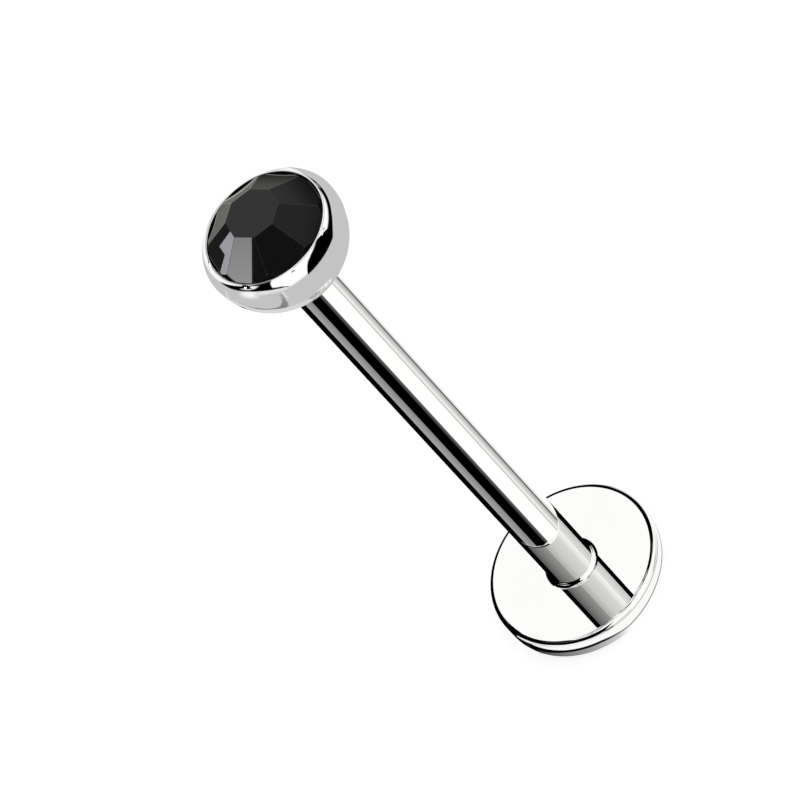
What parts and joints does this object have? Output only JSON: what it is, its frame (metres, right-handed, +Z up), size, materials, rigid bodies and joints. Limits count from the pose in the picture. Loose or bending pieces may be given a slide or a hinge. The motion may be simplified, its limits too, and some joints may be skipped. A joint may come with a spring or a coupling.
{
  "type": "labret stud",
  "caption": "Flat-backed labret stud: a round polished steel post on a disc, with a screw-in round setting that holds a black faceted stone.",
  "frame": {"origin": "centre of the disc's flat back, on the surface that the stud stands on", "axes": "+Z up the post from the disc to the stone; X and Y are free because the stud is round about the post"},
  "size_m": [0.0044, 0.0044, 0.0173],
  "materials": {
    "steel": "mirror-polished stainless steel",
    "setting_steel": "mirror-polished stainless steel",
    "black_stone": "polished opaque black cut glass"
  },
  "bodies": {
    "post_body": {"disc_post": "steel"},
    "top_body": {"setting": "setting_steel", "stone": "black_stone"}
  },
  "joints": [
    {"name": "top_lift", "type": "slide", "parent": "post_body", "child": "top_body", "axis": [0, 0, 1], "range_m": [0, 0.005]}
  ]
}
